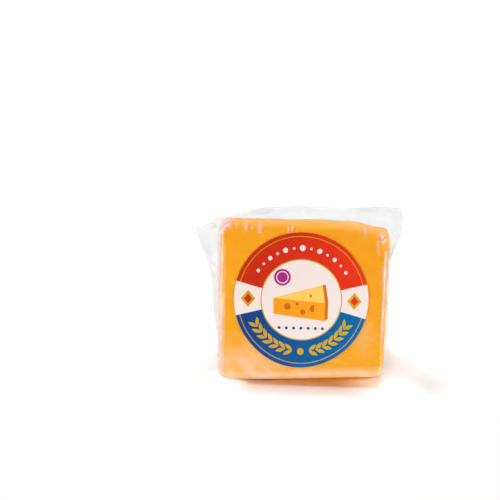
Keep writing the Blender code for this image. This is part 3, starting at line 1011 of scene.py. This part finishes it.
class Print:
    """Collects the thin layers of the label as one mesh."""

    def __init__(self):
        self.points = []
        self.faces = []
        self.inks = []

    def add(self, grid, ink, bottom, top):
        """One patch as a thin closed slab from bottom to top above the face."""
        u, v = grid
        rows, columns = u.shape
        first = sum(len(points) for points in self.points)
        size = rows * columns
        for lift in (top, bottom):
            self.points.append(label_points(u, v, lift).reshape(-1, 3))
        index = first + np.arange(size).reshape(rows, columns)
        quads = np.stack([index[:-1, :-1], index[1:, :-1], index[1:, 1:], index[:-1, 1:]], -1)
        faces = quads.reshape(-1, 4).tolist()
        faces += (quads[..., ::-1] + size).reshape(-1, 4).tolist()
        sides = (index[:, 0], index[-1, 1:], index[-2::-1, -1], index[0, -2:0:-1])
        rim = np.concatenate(sides).tolist()
        for here, there in zip(rim, rim[1:] + rim[:1]):
            faces.append([there, here, here + size, there + size])
        if self.runs_backwards(u, v):
            faces = [face[::-1] for face in faces]
        self.faces += faces
        self.inks += [list(COLOURS).index(ink)] * len(faces)

    def runs_backwards(self, u, v):
        """Whether a patch's rows and columns turn the other way, as its middle shows."""
        row, column = u.shape[0] // 2, u.shape[1] // 2
        down = [way[row, column] - way[row - 1, column] for way in (u, v)]
        across = [way[row, column] - way[row, column - 1] for way in (u, v)]
        return down[0] * across[1] < down[1] * across[0]

    def ink(self, grid, ink, layer):
        """One patch of print in a layer, counted from 1 on the bare label."""
        self.add(grid, ink, LABEL_TOP, LABEL_TOP + INK * layer)


def draw_ring(sheet):
    """The red and blue fields of the ring with their gold lines."""
    fields = ((RING_START, "red"), (180.0 + RING_START, "blue"))
    for start, ink in fields:
        sheet.ink(sector_grid(RING_INNER, LABEL_RADIUS, start, start + RING_TURN), ink, 1)
    for start in (0.0, 90.0, 180.0, 270.0):
        sheet.ink(sector_grid(*INNER_LINE, start, start + 90.0), "gold", 2)
    for start, _ in fields:
        sheet.ink(sector_grid(*OUTER_LINE, start, start + RING_TURN), "gold", 2)


def on_ring(turn):
    """The place on the middle of the ring at a turn in radians."""
    return RING_MIDDLE * math.cos(turn), RING_MIDDLE * math.sin(turn)


def draw_ornament(sheet):
    """Dots on the red field, leaves on the blue one and a lozenge on either side."""
    for number in range(-6, 7):
        centre = on_ring(math.radians(90.0 + DOT_STEP * number))
        large = DOT_RADIUS - DOT_FALL * abs(number)
        radius = large if number % 2 == 0 else SMALL_DOT_RADIUS
        sheet.ink(disc_grid(centre, radius, 8), "cream", 3)
    for side in (-1.0, 1.0):
        for number in range(7):
            turn = math.radians(270.0 + side * (FIRST_LEAF + LEAF_STEP * number))
            for lean in (LEAF_LEAN, -LEAF_LEAN):
                heading = turn + side * (math.pi / 2 - lean)
                sheet.ink(leaf_grid(on_ring(turn), heading), "gold", 3)
        centre = np.array((side * LOZENGE_PLACE, 0.0))
        for size, ink, layer in LOZENGES:
            tips = [centre + size * np.array(tip) for tip in LOZENGE_TIPS]
            sheet.ink(quad_grid(*tips), ink, layer)
    sheet.ink(disc_grid((0.0, -RING_MIDDLE), BERRY_RADIUS, 10), "gold", 3)


def draw_cheese(sheet):
    """The drawing in the middle: a wedge of cheese with round holes."""
    sheet.ink(quad_grid(TIP, NEAR, FAR, TIP_TWIN), "yellow", 1)
    sheet.ink(quad_grid(TIP, TIP_LOW, NEAR_LOW, NEAR), "orange", 1)
    sheet.ink(quad_grid(NEAR, NEAR_LOW, RIND_LOW, RIND_NEAR), "brown", 1)
    sheet.ink(quad_grid(NEAR, RIND_NEAR, RIND_FAR, FAR), "brown", 1)
    for centre, radius in HOLES:
        sheet.ink(disc_grid(centre, radius, 10), "brown", 2)


def draw_accents(sheet):
    """A magenta button and a short row of blue dots."""
    for radius, ink, layer in BUTTON:
        sheet.ink(disc_grid(BUTTON_PLACE, radius, 16), ink, layer)
    for number in range(-3, 4):
        sheet.ink(disc_grid((ROW_STEP * number, ROW_HEIGHT), ROW_DOT_RADIUS, 8), "blue", 1)


def make_label():
    """The printed label: a sheet with its layers of print."""
    sheet = Print()
    sheet.add(disc_grid((0.0, 0.0), LABEL_RADIUS, 48), "cream", LABEL_BOTTOM, LABEL_TOP)
    draw_ring(sheet)
    draw_ornament(sheet)
    draw_cheese(sheet)
    draw_accents(sheet)
    inks = [print_material("print_" + ink, *colours) for ink, colours in COLOURS.items()]
    label = new_piece("label_print", np.vstack(sheet.points), sheet.faces, *inks)
    label.data.polygons.foreach_set("material_index", sheet.inks)
    label.data.set_sharp_from_angle(angle=math.radians(30.0))
    return label


# Stage

FLOOR_HALF = 6.0
FLOOR_LEVEL = cad_low[2] - 0.0002
CAMERA_PLACE = (0.0164, -0.8267, 0.4435)
CAMERA_TARGET = (-0.0392, 0.0, 0.0884)
CAMERA_LENS = 89.68
MIRRORED = (0.0, -0.985, 0.17)  # the front mirrors this way, where the room is dark
DARK_ANGLES = (46.0, 20.0)  # the dark opening's edge and its full depth, in degrees
DARK_LEVEL = 0.03
ROOM_LEVELS = (0.30, 0.25)  # low down and high up
MIRRORED_LEVEL = 0.6  # and this much brighter where the film mirrors it

# Lights, with their power in watts
OVERHEAD_PLACE = (-0.20, 0.50, 1.54)
OVERHEAD_SIZE = (1.2, 0.34)
OVERHEADS = (("overhead", 40.5), ("overhead_soft", 16.5))  # on the floor and on the wedge
PANEL_PLACE = (1.3166, -0.8227, 0.3871)  # of the right one
PANEL_SIZE = (0.9, 0.8)
PANEL_POWER = 16.1
CARD_SIZE = (0.012, 0.012)
CARDS = (  # name, place, target, spread in degrees, power
    ("left_card", (-0.100, -0.080, 0.040), (-0.058, -0.038, 0.0), 24.0, 0.0038),
    ("right_card", (0.082, -0.085, 0.045), (0.063, -0.036, 0.0), 46.0, 0.0044),
)
GLOW_COLOUR = (1.0, 0.30, 0.0)
GLOWS = (  # name, place, target, size, power
    ("glow", (0.003, -0.0385, 0.0085), (0.003, -0.0365, 0.0), (0.120, 0.012), 0.0041),
    ("foot_glow", (0.001, -0.0290, 0.0010), (0.001, -0.0290, 0.0), (0.108, 0.010), 0.0012),
)


def make_floor():
    """The floor under the wedge."""
    signs = ((-1.0, -1.0), (1.0, -1.0), (1.0, 1.0), (-1.0, 1.0))
    corners = [(FLOOR_HALF * x, FLOOR_HALF * y, FLOOR_LEVEL) for x, y in signs]
    floor = new_piece("floor", corners, [(0, 1, 2, 3)], floor_material())
    return floor


def make_world():
    """A pale room with a dark opening round the camera. The film mirrors a brighter room,
    and the camera itself sees white."""
    world = bpy.data.worlds.new("studio")
    world.use_nodes = True
    tree = world.node_tree
    tree.nodes.clear()
    direction = add_node(tree, "ShaderNodeTexCoord").outputs["Generated"]
    edge, full = (math.cos(math.radians(angle)) for angle in DARK_ANGLES)
    dark = spread(tree, dot_product(tree, direction, MIRRORED), edge, full, 1.0, DARK_LEVEL)
    height = add_node(tree, "ShaderNodeSeparateXYZ", {"Vector": direction}).outputs["Z"]
    ray = add_node(tree, "ShaderNodeLightPath").outputs
    brighter = spread(tree, ray["Is Glossy Ray"], 0.0, 1.0, 0.0, MIRRORED_LEVEL)
    room = calculate(tree, "ADD", spread(tree, height, 0.02, 0.42, *ROOM_LEVELS), brighter)
    backgrounds = []
    for strength in (calculate(tree, "MULTIPLY", room, dark), 1.0):
        inputs = {"Color": WHITE, "Strength": strength}
        backgrounds.append(add_node(tree, "ShaderNodeBackground", inputs).outputs["Background"])
    both = mix_shaders(tree, ray["Is Camera Ray"], *backgrounds)
    tree.links.new(both, add_node(tree, "ShaderNodeOutputWorld").inputs["Surface"])
    bpy.context.scene.world = world


def aim(thing, place, target):
    """Put a light or the camera in its place and turn it towards the target."""
    thing.location = place
    way = Vector(target) - thing.location
    thing.rotation_euler = way.to_track_quat("-Z", "Y").to_euler()


def make_light(name, place, target, size, power, things):
    """A soft rectangular light that falls on these things only."""
    data = bpy.data.lights.new(name, "AREA")
    data.shape = "RECTANGLE"
    data.size, data.size_y = size
    data.energy = power
    light = new_object(name, data)
    aim(light, place, target)
    receivers = bpy.data.collections.new(name + "_receivers")
    for thing in things:
        receivers.objects.link(thing)
    light.light_linking.receiver_collection = receivers
    return light


def make_lights(wedge, floor):
    """A soft light from above and behind, a panel on either side, a small card that lights
    the floor by either end of the foot, and the warm light that the cheese throws on the
    floor before and under its foot."""
    target = (OVERHEAD_PLACE[0], 0.0, 0.0)
    for (name, power), things in zip(OVERHEADS, ([floor], wedge)):
        overhead = make_light(name, OVERHEAD_PLACE, target, OVERHEAD_SIZE, power, things)
        overhead.visible_glossy = False
    x, y, z = PANEL_PLACE
    for name, place in (("left_panel", (-x, y, z)), ("right_panel", PANEL_PLACE)):
        make_light(name, place, (0.0, 0.0, 0.0), PANEL_SIZE, PANEL_POWER, wedge)
    for name, place, target, angle, power in CARDS:
        card = make_light(name, place, target, CARD_SIZE, power, [floor])
        card.data.spread = math.radians(angle)
        card.visible_camera = False
    for name, place, target, size, power in GLOWS:
        glow = make_light(name, place, target, size, power, [floor])
        glow.data.color = GLOW_COLOUR
        glow.visible_camera = False


def make_camera():
    """The camera at the photographed angle."""
    data = bpy.data.cameras.new("camera")
    data.sensor_width = 36.0
    data.lens = CAMERA_LENS
    data.clip_start = 0.01
    data.clip_end = 50.0
    camera = new_object("camera", data)
    aim(camera, CAMERA_PLACE, CAMERA_TARGET)
    bpy.context.scene.camera = camera


def make_wedge():
    """The cheese, its film and its label, each tied to the frame."""
    skin_film = film_material("film", **SKIN_FILM)
    edge_film = film_material("edge_film", **EDGE_FILM)
    pieces = [make_cheese(), make_film_skin(skin_film), make_film_edges(edge_film)]
    for piece in pieces:
        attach(piece, "root")
        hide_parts("sealed_wedge")
    label = make_label()
    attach(label, "root")
    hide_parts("label")
    return pieces + [label]


make_camera()
make_world()
make_lights(make_wedge(), make_floor())
bpy.context.scene.view_settings.view_transform = "Standard"
